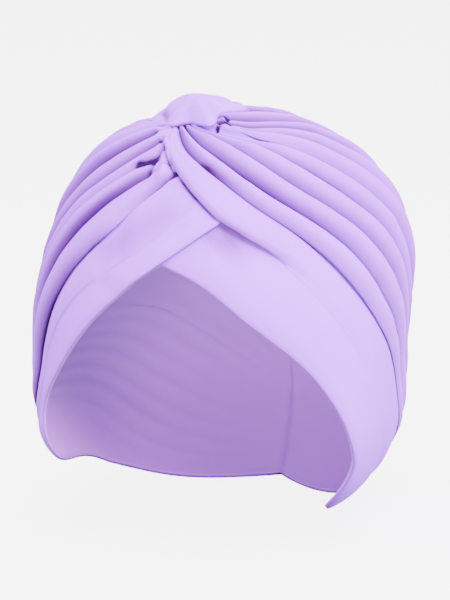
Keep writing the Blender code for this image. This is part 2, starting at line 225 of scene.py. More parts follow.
# Folds of the left wrap, the same columns, bearings counted to the other side
LEFT_FOLDS = (
    ("band_middle", 34, -23, 2, 27, 41, 49, 127, 96, 158, 2.8, 3.0, 0.00, 0.00),
    ("low_crease", 26, -14, 14, 33, 45, 55, 123, 103, 156, 2.8, 6.4, 0.00, 1.00),
    ("main_crease", 22, -12, 25, 43, 54, 63, 119, 110, 153, 2.8, 6.8, 0.045, 1.00),
    ("pocket_crease", 17, -14, 32, 51, 62, 74, 117, 116, 150, 3.4, 6.4, 0.03, 1.00),
    ("upper_crease", 10, -14, 29, 54, 70, 84, 114, 122, 147, 3.0, 7.2, 0.04, 1.00),
    ("shoulder_crease", 5, -2, 46, 62, 79, 94, 112, 128, 144, 2.8, 8.2, 0.04, 1.00),
    ("top_crease", 4, 44, 66, 78, 90, 104, 110, 135, 141, 4.6, 8.8, 0.00, 1.00),
    ("crown_crease", 5, 76, 88, 98, 107, 117, 108, 142, 138, 3.4, 8.2, 0.00, 1.00),
    ("crown_crease_2", 5, 106, 110, 117, 125, 132, 112, 150, 135, 3.4, 7.0, 0.00, 1.00),
    ("crown_crease_3", 5, 134, 134, 138, 143, 147, 110, 158, 132, 3.2, 6.2, 0.00, 1.00),
    ("back_fold", 5, 160, 158, 160, 163, 165, 108, 167, 129, 3.0, 5.8, 0.00, 1.00),
    ("crown_line", 5, 180, 180, 180, 180, 180, 112, 180, 127, 3.2, 3.2, 0.00, 1.00),
)

# Cross-section of one pleat. Columns: share of the way to the next crease, the same where the
# pleat is flat, share of the pleat's height, share of the lip's reach over the pleat below, and
# how much of the painted shade, darkest in the crease and under the lip, shows there
PLEAT_SECTION = (
    (0.04, 0.01, 0.04, 0.0, 0.95),
    (0.17, 0.03, 0.04, 0.0, 1.00),
    (0.06, 0.05, 0.15, 0.3, 1.00),
    (0.00, 0.08, 0.34, 1.0, 0.95),
    (0.04, 0.13, 0.56, 0.8, 0.68),
    (0.14, 0.20, 0.76, 0.2, 0.50),
    (0.28, 0.32, 0.91, 0.0, 0.27),
    (0.47, 0.50, 1.00, 0.0, 0.06),
    (0.70, 0.72, 0.88, 0.0, 0.00),
    (0.86, 0.88, 0.56, 0.0, 0.06),
    (0.95, 0.96, 0.21, 0.0, 0.55),
)

# How dark the painted shade of a crease is at each station: wrap side, fold name and a share per
# station, past 1 for a line whose painted shade is black at its heart. Creases that aren't listed
# have the plain share all along
PLAIN_CREASE_SHADE = 0.70
PAINTED_CREASE_SHADES = (
    (1, "crease_2", 2.00, 2.20, 1.30, 0.70, 0.70, 0.60, 0.50),
    (1, "crease_3", 1.60, 1.70, 2.40, 1.30, 0.90, 0.65, 0.50),
    (1, "crease_4", 0.50, 1.10, 1.90, 1.30, 1.00, 0.65, 0.50),
    (1, "crease_5", 0.40, 0.70, 1.40, 1.20, 1.00, 0.65, 0.50),
    (1, "crease_6", 0.40, 0.60, 1.00, 1.10, 0.90, 0.65, 0.50),
    (1, "crease_7", 1.60, 1.80, 1.20, 0.75, 0.70, 0.65, 0.50),
    (1, "crease_8", 2.60, 2.60, 1.30, 0.70, 0.70, 0.65, 0.50),
    (1, "crease_9", 3.00, 2.60, 1.20, 0.70, 0.70, 0.65, 0.50),
    (1, "crease_10", 3.00, 2.60, 1.20, 0.70, 0.70, 0.65, 0.50),
    (-1, "low_crease", 1.60, 0.25, 2.00, 2.00, 1.80, 0.80, 0.50),
    (-1, "main_crease", 2.20, 3.00, 2.20, 0.80, 0.75, 0.65, 0.50),
    (-1, "pocket_crease", 1.00, 0.85, 0.50, 0.60, 0.65, 0.65, 0.50),
    (-1, "upper_crease", 2.20, 2.30, 1.30, 0.65, 0.65, 0.65, 0.50),
    (-1, "shoulder_crease", 2.20, 2.60, 1.50, 0.65, 0.65, 0.65, 0.50),
)

# Lower band between its hem and the first fold. Columns: share of the way there, how far it
# stands over its own thickness, and where along the folds that begins
RIGHT_BAND = (
    (0.30, 0.6, 0.131),
    (0.62, 0.6, 0.2174),
    (0.86, 0.2, 0.29),
)
LEFT_BAND = (
    (0.30, 0.6, 0.04),
    (0.62, 0.6, 0.04),
    (0.86, 0.3, 0.04),
)
BAND_RAMP = 0.15

# Cross-section of the slot in which the left wrap's tail slides under the front fold. Columns:
# how far across the slot and how far up its height
SLOT_OPEN = (
    (0.96, 0.00),
    (1.04, 0.45),
    (0.96, 0.90),
    (0.30, 1.00),
)

# Where the slot is shut: the step between its points, and the height that is left
SLOT_SHUT_STEP = 0.03
SLOT_SHUT_HEIGHT = 0.25

# Cross-section of the front fold over the slot, from its nose to its top. Columns: 1 where a place
# is counted from the nose, place where the fold is free, place where it has sunk, share of the
# fold's height and painted shade under the fold
FRONT_FOLD = (
    (1, 0.00, 1.20, 0.38, 0.75),
    (1, 0.09, 1.27, 0.76, 0.45),
    (0, 1.16, 1.35, 0.97, 0.10),
)

# How far the nose hangs past the fold line, the least that the fold stands over the slot's roof,
# and how far its top stands over the band where it has merged
NOSE_REACH = 1.1
LEAST_FOLD = 0.6
MERGED_RISE = 1.0

# The fold's broad top, and its way down to the next crease. Columns: place, share of its height
# and, on the way down, painted shade towards the crease
FRONT_FOLD_TOP = (
    (1.45, 1.00),
    (1.66, 0.95),
)
FRONT_FOLD_FOOT = (
    (1.84, 0.60, 0.0),
    (1.97, 0.17, 0.2),
)

# Stretches along the right wrap, from start to end: where its front fold comes free of the band,
# where it sinks, and where it merges with the band
FOLD_FREES = (0.01, 0.09)
FOLD_SINKS = (0.30, 0.44)
FOLD_MERGES = (0.34, 0.46)

# Painted shade at the hem, more of it where the left wrap's tail crosses, and painted shade at
# the start under the twist and along the seam, with the stretch along the wrap that each takes
HEM_PAINTED_SHADE = 0.5
TAIL_HEM_PAINTED_SHADE = 0.5
TAIL_HEM = (0.12, 0.27)
START_PAINTED_SHADE_RIGHT = 0.9
START_PAINTED_SHADE_LEFT = 0.2
START_LENGTH = 0.02
SEAM_PAINTED_SHADE = 0.6
SEAM_LENGTH = 0.012

# Pulled wrinkles: waves in one pleat, waves along the folds, and the stretch where they fade
PULL_WAVES = (2.6, 0.8)
PULL_FADES = (0.15, 0.45)

# Soft unevenness of the wraps. Columns: share of its height, fineness and turn of the pattern
RIPPLES = (
    (1.00, 9.0, 2.0),
    (0.35, 27.0, 5.0),
)

# Small dents, ridges and pockets of the worn cloth. Columns: name, wrap side, depth below the
# pleat (above it where it is negative), width, how dark its painted shade is, then distance and
# bearing of each point passed
RELIEF = (
    ("front_hollow", 1, 1.3, 2.6, 0.26, (22, 29), (27, 34), (32, 38.5), (36, 42)),
    ("crossing_shade", 1, 0.3, 4.5, 0.55, (44.6, 22), (46, 26), (48, 29)),
    ("under_fold_hollow", 1, 0.6, 4.5, 0.20, (46, 22), (50, 27), (55, 34)),
    ("hem_ridge", 1, -0.45, 1.3, 0.0, (79, 46), (88, 52), (104, 60), (115, 66)),
    ("strand_gap", 1, 2.4, 1.2, 1.3, (11, 84), (12.5, 72), (13.5, 65)),
    ("strand", 1, -1.2, 1.2, 0.0, (11, 110), (13, 84), (16, 68)),
    ("pocket_line", 1, 1.9, 0.8, 1.3, (11, 121), (12.5, 101), (14, 84)),
    ("pocket_right", 1, 2.6, 1.2, 1.5, (12.5, 84), (14, 79), (16, 75)),
    ("strip_ridge", -1, -1.7, 1.5, 0.0, (7, -2), (12, 1), (16.5, 5), (21, 6), (26, 5), (30, 1)),
    ("strip_foot", -1, -1.2, 3.0, 0.0, (11, 2), (15, 4), (19, 5), (23, 5), (27, 4), (32, 0)),
    ("strip_edge", -1, 1.8, 0.8, 0.45, (10, -5), (13, -1), (16.3, 1), (19.4, -1.5), (23, -2),
     (27, -3)),
    ("front_fold_tuck", -1, 1.2, 0.8, 0.85, (13, 1), (17.5, 5), (22.5, 9), (27, 13)),
    ("front_fold_line", -1, 0.9, 1.0, 0.85, (24, 12), (31, 17.5), (37, 22.5), (44, 27.5)),
    ("pocket_left", -1, 2.6, 1.9, 1.6, (21, -13), (21, -9), (20.6, -5), (20.2, -1)),
    ("band_dent", -1, 0.7, 7.0, 0.36, (48, -25), (43, -12), (38, 3), (34, 16)),
)

# Floor: how far it reaches, its corners, how far it lies under the cloth, in metres, the light
# that comes up through it, its finish, and the scale, detail and tone of its faint unevenness
FLOOR_REACH = 8.0
FLOOR_CORNERS = 96
FLOOR_DROP = 0.0004
FLOOR_GLOW = 5.8
FLOOR_FINISH = (
    ("Roughness", 0.95),
    ("Specular IOR Level", 0.1),
    ("Emission Color", (1.0, 1.0, 1.0, 1.0)),
    ("Emission Strength", FLOOR_GLOW),
)
FLOOR_NOISE = (6.0, 2.0)
FLOOR_SHADE = 0.98

# Lights on the cloth. Columns: name, place in metres (right, back, up), size in metres and power
# in watts. The floor has a white light of its own
CLOTH_TINT = (0.90, 0.25, 1.0)
CLOTH_LIGHTS = (
    ("key_light", (0.70, -1.10, 1.15), 0.8, 100.0),
    ("left_front_light", (-1.00, -0.80, 0.60), 0.9, 36.0),
    ("side_light", (1.40, -0.20, 0.55), 0.9, 78.0),
    ("back_light", (-0.45, 1.35, 0.90), 0.9, 76.0),
    ("low_light", (0.15, -1.40, -0.02), 0.5, 20.0),
    ("top_light", (0.10, -0.30, 1.90), 1.6, 26.0),
)
FLOOR_LIGHT = ("floor_light", (0.10, -0.30, 1.90), 1.6, 60.0)
WHITE = (1.0, 1.0, 1.0)

# White surroundings: the light they give and how bright they show
WORLD_LIGHT = 0.42
WORLD_SHOWN = 9.0

# Camera: degrees round from the front and up, metres away, lens in millimetres and its shift
CAMERA_AZIMUTH = 15.0
CAMERA_ELEVATION = 10.0
CAMERA_DISTANCE = 1.3
CAMERA_LENS = 167.7
CAMERA_SHIFT = 0.03

# Knit colour: scale and detail of the slow drift and of the fine mottle, and the share of each
SOFT_NOISE = (22.0, 2.0)
FINE_NOISE = (900.0, 3.0)
SOFT_SHARE = 0.9
FINE_SHARE = 0.25

# Painted crease shade: share of the tone, and of its fourth power, which blackens a crease's heart
CREASE_SHADE_SHARE = 0.69
CREASE_SHADE_CORE = 0.30

# Knit stitch: height of a course beside its width, slant of a course, rise of a column, a full
# turn of its wave, and how much painted shade darkens the knit between stitches
COURSE_SHARE = 0.8
COURSE_SLANT = 0.6
COLUMN_RISE = 0.22
FULL_TURN = 6.2832
STITCH_PAINTED_SHADE = 0.05

# Bump of the stitch and finish of the cloth, by the names of the shader's inputs
KNIT_BUMP = (
    ("Strength", 0.35),
    ("Distance", 0.00012),
)
KNIT_FINISH = (
    ("Roughness", 0.74),
    ("Specular IOR Level", 0.10),
    ("Specular Tint", (0.85, 0.70, 1.0, 1.0)),
    ("Sheen Weight", 0.06),
    ("Sheen Roughness", 0.45),
    ("Sheen Tint", (0.80, 0.62, 1.0, 1.0)),
)

# Loop over the twist
LOOP_DIST = 6.5
LOOP_BEARING = 153.0
LOOP_UNDER_NEAR = 4.5
LOOP_UNDER_RIGHT = 6.2
LOOP_UNDER_LEFT = 6.9
LOOP_RIM = 0.9

# How far the loop's rim presses into the cloth, how much less it does so at the front, and the
# power that keeps this to the rim
LOOP_PRESS = 1.4
LOOP_PRESS_FRONT = 0.6
LOOP_PRESS_POWER = 6

# Points round the loop, rings of its dome, and its unevenness with the columns of the wraps'
LOOP_AROUND = 168
LOOP_RINGS = 44
LOOP_RIPPLE = (0.5, 16.0, 3.0)

# Powers of the loop's dome, of the reach and of the height, and the way from the twist over which
# its under side rises
LOOP_DOME = (2.4, 0.60)
LOOP_SPREAD = 15.0

# Painted shade at the loop's rim: how much, up to which height, and past which share of the reach
LOOP_RIM_PAINTED_SHADE = 0.7
LOOP_RIM_HEIGHT = 1.9
LOOP_RIM_FROM = 0.93

# Rings of the loop's rim and under side, after those of its dome: share of the reach and height
LOOP_UNDER_SIDE = (
    (0.985, 0.35),
    (0.94, 0.0),
    (0.80, 0.0),
    (0.60, 0.0),
    (0.40, 0.0),
    (0.20, 0.0),
)

# Where the loop lies flatter: angle, how narrowly, and how much. The power keeps it to the rim
LOOP_FLATTER = (
    (180, 2, 0.50),
    (270, 1, 0.15),
    (38, 2, 0.60),
)
LOOP_FLATTER_POWER = 1.3

# Step down to the loop's left end: its angle, how much, and the stretch of the reach it takes
LOOP_STEP_ANGLE = 195.0
LOOP_STEP = 0.45
LOOP_STEP_SPAN = (0.52, 0.72)

# Reach of the loop from its centre, by the angle from the right by way of the back
LOOP_REACH = (
    (0, 12.4),
    (10, 14.5),
    (20, 21.0),
    (32, 25.5),
    (50, 26.5),
    (70, 24.5),
    (95, 22.5),
    (120, 21.5),
    (150, 21.0),
    (180, 20.5),
    (198, 19.5),
    (215, 17.8),
    (238, 17.2),
    (252, 15.8),
    (266, 13.6),
    (281, 14.0),
    (293, 18.0),
    (303, 22.0),
    (312, 20.5),
    (322, 16.5),
    (342, 12.4),
)

# Small dents of the loop, with the columns of the relief above, their darkness painted shade
LOOP_RELIEF = (
    ("left_tuck", 0, 1.2, 1.3, 0.75, (12, -156), (9, -147), (6.6, -131), (3.6, -115),
     (3.3, -50), (5, -20)),
    ("right_pull", 0, 0.5, 1.6, 0.05, (13, 70), (10, 88), (8, 110)),
    ("back_tuck", 0, 1.0, 1.5, 0.25, (16, 128), (18, 146), (20, 160)),
)


def smooth(x):
    """Smooth step: 0 below 0, 1 above 1, 3x^2 - 2x^3 between."""
    x = np.clip(x, 0.0, 1.0)
    return x * x * (3.0 - 2.0 * x)


def rising(x, span):
    """Smooth step that is 0 up to the start of a span and 1 from its end."""
    return smooth((x - span[0]) / (span[1] - span[0]))


def faded(x, ends):
    """Smooth step up in the first share of 0 to 1, times a smooth step down in the last."""
    return smooth(x / ends[0]) * smooth((1.0 - x) / ends[1])


def unit(v):
    """Vectors divided by their length."""
    return v / np.linalg.norm(v, axis=-1, keepdims=True)


def twist_frame():
    """Unit vectors of the twist: its pole, the way to the wearer's left, the way to the face."""
    tilt = np.radians(TWIST_TILT_FRONT)
    side = np.radians(TWIST_TILT_SIDE)
    pole = np.array([np.sin(side), -np.sin(tilt) * np.cos(side), np.cos(tilt) * np.cos(side)])
    left = np.array([np.cos(side), np.sin(tilt) * np.sin(side), -np.cos(tilt) * np.sin(side)])
    face = np.cross(pole, left)
    if face[2] > 0.0:
        face = -face
    return pole, left, face


def direction(dist, bearing):
    """Unit vector at an angle from the twist's pole and a bearing round it, as on a globe."""
    pole, left, face = twist_frame()
    dist = np.radians(np.asarray(dist, float))[..., None]
    bearing = np.radians(np.asarray(bearing, float))[..., None]
    around = np.cos(bearing) * face + np.sin(bearing) * left
    return np.cos(dist) * pole + np.sin(dist) * around


def head_radius(d):
    """Superellipsoid: the radius at which |x/a|^n + |y/b|^n + |z/c|^n is 1 along d."""
    depth = np.where(d[..., 1] < 0.0, FRONT_DEPTH, BACK_DEPTH)
    height = np.where(d[..., 2] > 0.0, TOP_HEIGHT, LOW_HEIGHT)
    power = SQUARENESS + SQUARENESS_GAIN_LOW * smooth(-d[..., 2] / SQUARENESS_RAMP)
    total = np.abs(d[..., 0] / HALF_WIDTH) ** power
    total = total + np.abs(d[..., 1] / depth) ** power
    total = total + np.abs(d[..., 2] / height) ** power
    return total ** (-1.0 / power)


def head_point(d, height):
    """Direction times radius plus height, drawn in towards the nape by a smooth step of z."""
    p = d * (head_radius(d) + height)[..., None]
    low = smooth((-p[..., 2] - NAPE_START) / (NAPE_END - NAPE_START))
    x = p[..., 0] * (1.0 - NAPE_TIGHTEN_WIDTH * low)
    y = NAPE_CENTRE_Y + (p[..., 1] - NAPE_CENTRE_Y) * (1.0 - NAPE_TIGHTEN_DEPTH * low)
    return np.stack([x, y, p[..., 2]], axis=-1)


def through(stations, values, u):
    """Cubic Hermite curve through values at stations, with slopes from both neighbours."""
    t = np.asarray(stations, float)
    v = np.asarray(values, float)
    slope = np.empty_like(v)
    step = np.diff(t)[:, None]
    chord = np.diff(v, axis=0) / step
    slope[1:-1] = (chord[:-1] * step[1:] + chord[1:] * step[:-1]) / (step[:-1] + step[1:])
    slope[0] = chord[0]
    slope[-1] = chord[-1]
    k = np.clip(np.searchsorted(t, u, side="right") - 1, 0, len(t) - 2)
    h = (t[k + 1] - t[k])[:, None]
    s = ((u - t[k]) / (t[k + 1] - t[k]))[:, None]
    first = (2 * s ** 3 - 3 * s ** 2 + 1) * v[k] + (s ** 3 - 2 * s ** 2 + s) * h * slope[k]
    second = (3 * s ** 2 - 2 * s ** 3) * v[k + 1] + (s ** 3 - s ** 2) * h * slope[k + 1]
    return first + second


def finer(values, steps):
    """Catmull-Rom curve along the second axis, with steps points for each one given."""
    count = values.shape[1]
    now = np.arange(count - 1)
    p0 = values[:, np.maximum(now - 1, 0), None]
    p1 = values[:, now, None]
    p2 = values[:, now + 1, None]
    p3 = values[:, np.minimum(now + 2, count - 1), None]
    t = (np.arange(steps) / steps)[None, None, :]
    curve = 2 * p1 + (p2 - p0) * t + (2 * p0 - 5 * p1 + 4 * p2 - p3) * t ** 2
    curve = 0.5 * (curve + (3 * p1 - p0 - 3 * p2 + p3) * t ** 3)
    return np.concatenate([curve.reshape(len(values), -1), values[:, -1:]], axis=1)


def line_directions(stations, side, u):
    """Directions along one line at each u; side is 1 for the right wrap, -1 for the left."""
    places = EDGE_STATION if len(stations) == len(EDGE_STATION) else STATION
    table = np.asarray(stations, float)
    left = twist_frame()[1]
    d = direction(table[:, 0], side * table[:, 1])
    at_seam = (table[:, 1] == 180.0)[:, None]
    d = d + at_seam * side * left * (0.5 * SEAM_GAP / HALF_WIDTH)
    return unit(through(places, d, u))


def fold_stations(row):
    """The seven distance and bearing pairs of one fold row."""
    start = row[1]
    pairs = []
    for place, bearing in zip(PLEAT_DIST, row[2:7]):
        share = (place - PLEAT_DIST[0]) / (PLEAT_DIST[-1] - PLEAT_DIST[0])
        pairs.append((start + share * (PLEAT_DIST[-1] - start), bearing))
    pairs.append((row[7], row[8]))
    pairs.append((row[9], 180))
    return pairs


def across(lines, place):
    """Directions between neighbouring lines, mixed by place, which counts the lines."""
    place = np.clip(place, 0.0, lines.shape[1] - 1.0)
    low = np.clip(np.floor(place).astype(int), 0, lines.shape[1] - 2)
    share = (place - low)[..., None]
    row = np.arange(lines.shape[0])[:, None]
    return unit(lines[row, low] * (1.0 - share) + lines[row, low + 1] * share)


def widths(lines):
    """Distance in millimetres between neighbouring lines at each step along them."""
    points = head_point(lines, np.full(lines.shape[:2], WIDTH_HEIGHT))
    return np.linalg.norm(np.diff(points, axis=1), axis=-1)


def swell(u, start, left):
    """How far the pleats have risen at each u, level where the line starts."""
    shares = np.array(LEFT_SWELL if left else RIGHT_SWELL)[:, None]
    return through(STATION, shares, u)[:, 0] * smooth((u - start) / RISE_LENGTH)


def painted_crease_shade(side, name, u):
    """How dark the painted shade of one fold's crease is at each u, read between the stations."""
    for row in PAINTED_CREASE_SHADES:
        if row[0] == side and row[1] == name:
            return np.interp(u, STATION, row[2:])
    return np.full_like(u, PLAIN_CREASE_SHADE)


def darkened(tone, dark):
    """Tone scaled by a share below 1, and drawn towards 1 as 1 - (1 - tone)^share above it."""
    return (1.0 - (1.0 - tone) ** np.maximum(dark, 1.0)) * np.minimum(dark, 1.0)


def level_heights(row, u, left, band):
    """Floor and crest heights of one fold row at each u, and how far its crease shows."""
    floor, crest, begins, fades = row[10:14]
    rise = swell(u, begins - RISE_LEAD_LEFT if left else -RISE_LEAD_RIGHT, left)
    knot = band + GAP + TAIL_THICK if left else KNOT_THICK
    base = knot + (SEAM_THICK - knot) * smooth(u / KNOT_LENGTH)
    crest_now = base + (crest - base) * rise
    floor_now = base + (floor - base) * np.minimum(rise, 1.0)
    ramp = CREASE_RAMP_LEFT if left else CREASE_RAMP_RIGHT
    shown = smooth((u - begins + ramp) / ramp) if begins > 0.0 else np.ones_like(u)
    if fades < 1.0:
        shown = shown * (1.0 - smooth((u - fades + CREASE_FADE) / CREASE_FADE))
    return floor_now, crest_now, shown


def wrap_outside(lines, table, side, u, sizes):
    """Places, heights and painted shade tones of each cross-section's control points, from the face
    hem to the crown."""
    left = side < 0
    count = len(table)
    band_thick = sizes.band_thickness / MM
    wide = widths(lines)
    floors = []
    crests = []
    for number, row in enumerate(table):
        floor, crest, shown = level_heights(row, u, left, band_thick)
        sway = np.sin(2.0 * np.pi * (SWAY_WAVES * u + SWAY_SHIFT * number))
        sway = sway * faded(u, SWAY_ENDS)
        crest = crest + sizes.pleat_sway / MM * sway * (crest > floor + 1.0)
        deeper = sizes.crease_depth / MM * np.clip((crest - floor) / FULL_CREASE, 0.0, 1.0)
        floors.append((np.maximum(floor - deeper * shown, np.minimum(floor, LOWEST_FLOOR)), shown))
        crests.append(crest)
    dark = [painted_crease_shade(side, row[0], u) for row in table]
    places = []
    heights = []
    tones = []

    def put(place, height, tone=0.0):
        """Add one control point to every cross-section."""
        places.append(np.broadcast_to(place, u.shape).copy())
        heights.append(np.broadcast_to(height, u.shape).copy())
        tones.append(np.broadcast_to(tone, u.shape).copy())

    lift = tail_lift(lines[:, 0], side, band_thick)
    band = band_thick + 0.0 * u
    if left:
        band = np.maximum(lift + TAIL_THICK, band_thick)
    # Painted shade along the hem, more where the tail crosses, and a little just beside it
    painted_hem_shade = HEM_PAINTED_SHADE + (TAIL_HEM_PAINTED_SHADE * (1.0 - rising(u, TAIL_HEM)) if left else 0.0)
    put(-HEM_BULGE / np.maximum(wide[:, 0], 1.0), lift + 0.5 * (band - lift), painted_hem_shade)
    put(0.02, band, 0.20)
    for share, stands, begins in LEFT_BAND if left else RIGHT_BAND:
        put(share, band + stands * smooth((u - begins) / BAND_RAMP))
    if not left:
        slot_points(put, crests, floors, wide, u, band_thick)
    for i in range(0 if left else 1, count - 1):
        floor, shown = floors[i]
        crest = crests[i]
        below = crests[i - 1] if i > 0 else band + 0.5
        level = np.minimum(below, crest)
        low = floor * shown + (level - PLAIN_DIP) * (1.0 - shown)
        tall = np.minimum(crest - low, TALLEST_SHARE * wide[:, i + 1])
        low = crest - tall if i == 0 else low
        next_floor, next_shown = floors[i + 1]
        next_low = next_floor * next_shown + (crest - PLAIN_DIP) * (1.0 - next_shown)
        risen = np.clip((crest - low) / FULL_LIP, 0.0, 1.0) * faded(u, LIP_ENDS)
        painted_shade_share = np.clip((crest - low) / FULL_PAINTED_SHADE, 0.0, 1.0)
        narrow = 1.0 / np.clip(PLAIN_WIDTH / np.maximum(wide[:, i + 1], 1.0), 1.0, 2.0)
        reach = LIP_SHARE * np.minimum(wide[:, i], wide[:, i + 1])
        reach = np.minimum(sizes.lip_reach / MM, reach) * risen
        for share, flat, rise, hang, tone in PLEAT_SECTION:
            near = 0.5 * (2.0 * min(share, 1.0 - share)) ** narrow
            near = near if share < 0.5 else 1.0 - near
            place = i + 1 + near * risen + flat * (1.0 - risen) - hang * reach / wide[:, i]
            if share < 0.6:
                put(place, low + rise * tall, painted_shade_share * darkened(tone, dark[i]))
            else:
                height = next_low + rise * (low + tall - next_low)
                put(place, height, painted_shade_share * darkened(tone, dark[i + 1]))
    end_floor = floors[-1][0]
    put(count - 0.02, end_floor)
    put(count + 0.0 * u, 0.5 * end_floor)
    return np.stack(places, axis=1), np.stack(heights, axis=1), np.stack(tones, axis=1)


def slot_points(put, crests, floors, wide, u, band_thick):
    """Slot and front fold of the right wrap, put one point after another."""
    fold = rising(u, FOLD_FREES) * (1.0 - rising(u, FOLD_SINKS))
    merge = rising(u, FOLD_MERGES)
    roof = band_thick + SLOT_SHUT_HEIGHT + (SLOT_HEIGHT - SLOT_SHUT_HEIGHT) * fold
    top = crests[0] * (1.0 - merge) + (band_thick + MERGED_RISE) * merge
    top = np.maximum(top, roof + LEAST_FOLD)
    # The slot's points carry painted shade as far as the slot is open
    for k, (share, rise) in enumerate(SLOT_OPEN):
        opened = 1.0 + SLOT_SHARE * share
        shut = 1.0 + SLOT_SHUT_STEP * (k + 1)
        put(opened * fold + shut * (1.0 - fold), band_thick + rise * (roof - band_thick), fold)
    nose = 1.0 - NOSE_REACH / wide[:, 0]
    for from_nose, free, sunk, rise, tone in FRONT_FOLD:
        place = (from_nose * nose + free) * fold + sunk * (1.0 - fold)
        put(place, roof + rise * (top - roof), tone * fold)
    for place, rise in FRONT_FOLD_TOP:
        put(place, rise * top)
    next_floor = floors[1][0]
    for place, rise, tone in FRONT_FOLD_FOOT:
        put(place, next_floor + rise * (top - next_floor), tone)


def fuller(d, height, side):
    """Heights changed by a bell curve round each fullness point, thin edges kept."""
    at = head_point(d, np.zeros(height.shape))
    share = np.interp(height, FULLNESS_HEIGHTS, (0.0, 1.0))
    for wrap, x, y, z, radius, added in FULLNESS:
        if wrap == side:
            away = np.sum((at - np.array([x, y, z])) ** 2, axis=-1)
            height = height + added * share * np.exp(-0.5 * away / radius ** 2)
    return height


def tail_lift(d, side, band_thick):
    """Height of the inner side over the head: the left wrap's tail rides over the right band."""
    if side > 0:
        return np.zeros(d.shape[:-1])
    left, face = twist_frame()[1:]
    past = -(d @ left) * TAIL_RADIUS
    lifted = 1.0 - smooth((past - TAIL_EDGE) / TAIL_SLOPE)
    return (band_thick + GAP) * lifted * rising(d @ face, TAIL_NEAR)


def relief(d, table, side):
    """Depth and painted shade of small dents: bell curves of the distance to the path of each."""
    depth = np.zeros(d.shape[:-1])
    shade = np.zeros(d.shape[:-1])
    for row in table:
        wrap, deep, wide, dark = row[1:5]
        if wrap != side:
            continue
        passed = np.array(row[5:], float)
        points = direction(passed[:, 0], passed[:, 1])
        length = np.sum(np.linalg.norm(np.diff(points, axis=0), axis=1)) * TWIST_RADIUS
        count = max(int(length / 0.5), 6)
        places = np.linspace(0.0, 1.0, count)
        path = unit(through(np.linspace(0.0, 1.0, len(points)), points, places))
        middle = unit(path.mean(axis=0))
        near = np.linalg.norm(d - middle, axis=-1) * TWIST_RADIUS < 0.6 * length + 3.0 * wide
        close = d[near]
        apart = np.linalg.norm(close[:, None, :] - path[None, :, :], axis=-1) * TWIST_RADIUS
        nearest = apart.argmin(axis=1)
        along = places[nearest]
        fade = faded(along, DENT_ENDS) if length >= 4.0 * wide else 1.0
        bell = fade * np.exp(-(apart.min(axis=1) / wide) ** 2)
        depth[near] += deep * bell
        shade[near] += dark * bell
    return depth, shade


def ripple(d, size, turn):
    """Gentle unevenness between -1 and 1: half the product of two sines of the direction plus
    half a third sine, where each sine bends the next."""
    a = np.sin(d[..., 0] * size + 1.3 * turn)
    b = np.sin(d[..., 1] * size * 0.9 + 2.1 * turn + 1.5 * a)
    c = np.sin(d[..., 2] * size * 1.1 + 0.7 * turn + 1.1 * b)
    return a * b * 0.5 + c * 0.5


def wrap_surface(edge, table, side, sizes):
    """Outer and inner points of one wrap on grids of (along the folds, across them)."""
    u = np.linspace(0.0, 1.0, STEPS_ALONG) ** STEPS_CROWDED
    lines = [line_directions(edge, side, u)]
    for row in table:
        lines.append(line_directions(fold_stations(row), side, u))
    lines = np.stack(lines, axis=1)
    place, height, tone = wrap_outside(lines, table, side, u, sizes)
    place = finer(place, STEPS_ACROSS)
    height = finer(height, STEPS_ACROSS)
    tone = finer(tone, STEPS_ACROSS)
    outer_dir = across(lines, place)
    height = fuller(outer_dir, height, side)
    free = rising(height, UNEVEN_HEIGHTS) * faded(u, UNEVEN_ENDS)[:, None]
    tension = np.sin(2.0 * np.pi * (PULL_WAVES[0] * place + PULL_WAVES[1] * u[:, None]))
    tension = tension * (1.0 - rising(u, PULL_FADES))[:, None]
    height = height + free * sizes.wrinkle_height / MM * tension
    for share, fineness, turn in RIPPLES:
        uneven = ripple(outer_dir, fineness, side + turn)
        height = height + free * share * sizes.ripple_height / MM * uneven
    dents, shade = relief(outer_dir, RELIEF, side)
    height = np.maximum(height - dents, np.minimum(height, DENT_FLOOR))
    least = tail_lift(outer_dir, side, sizes.band_thickness / MM)
    least = least + CREASE_FLOOR * smooth(place / HEM_ROUND)
    height = np.where(place < len(table) - 0.5, np.maximum(height, least), height)
    # Painted shade under the twist at the start and along the seam, added to that of creases and
    # dents
    start = START_PAINTED_SHADE_RIGHT if side > 0 else START_PAINTED_SHADE_LEFT
    start = start * (1.0 - smooth(u / START_LENGTH))[:, None]
    seam = SEAM_PAINTED_SHADE * (1.0 - smooth((1.0 - u) / SEAM_LENGTH))[:, None]
    tone = np.clip(tone + shade + start + seam, 0.0, 1.0)
    outside = head_point(outer_dir, height)
    inner_place = np.linspace(0.0, len(table), STEPS_INSIDE * len(table) + 1)
    inner_place = np.broadcast_to(inner_place, (len(u), len(inner_place)))
    inner_dir = across(lines, inner_place)
    gather = 0.5 - 0.5 * np.cos(2.0 * np.pi * inner_place)
    gather = gather * smooth(inner_place - 1.0) * smooth((len(table) - inner_place) / 0.5)
    gather = gather * faded(u, GATHER_ENDS)[:, None]
    lift = tail_lift(inner_dir, side, sizes.band_thickness / MM)
    inside = head_point(inner_dir, lift + sizes.inner_gather / MM * gather)
    return outside, inside, place, inner_place, tone


def end_cap(outer_count, inner_count, outer_place, inner_place):
    """Triangles closing one end, zipped between the outer points and the inner points."""
    total = outer_count + inner_count
    tris = []
    i = 0
    j = 0
    while i < outer_count - 1 or j < inner_count - 1:
        inner_now = total - 1 - j
        step_outer = j == inner_count - 1
        if i < outer_count - 1 and j < inner_count - 1:
            step_outer = outer_place[i + 1] <= inner_place[j + 1]
        if step_outer:
            tris.append((i, i + 1, inner_now))
            i += 1
        else:
            tris.append((i, inner_now - 1, inner_now))
            j += 1
    return tris


def grid_faces(rings, count):
    """Quads between neighbouring rings of count points each, closed around."""
    i = np.arange(rings - 1)[:, None] * count
    j = np.arange(count)[None, :]
    k = (j + 1) % count
    return np.stack([i + j, i + k, i + count + k, i + count + j], axis=-1).reshape(-1, 4)


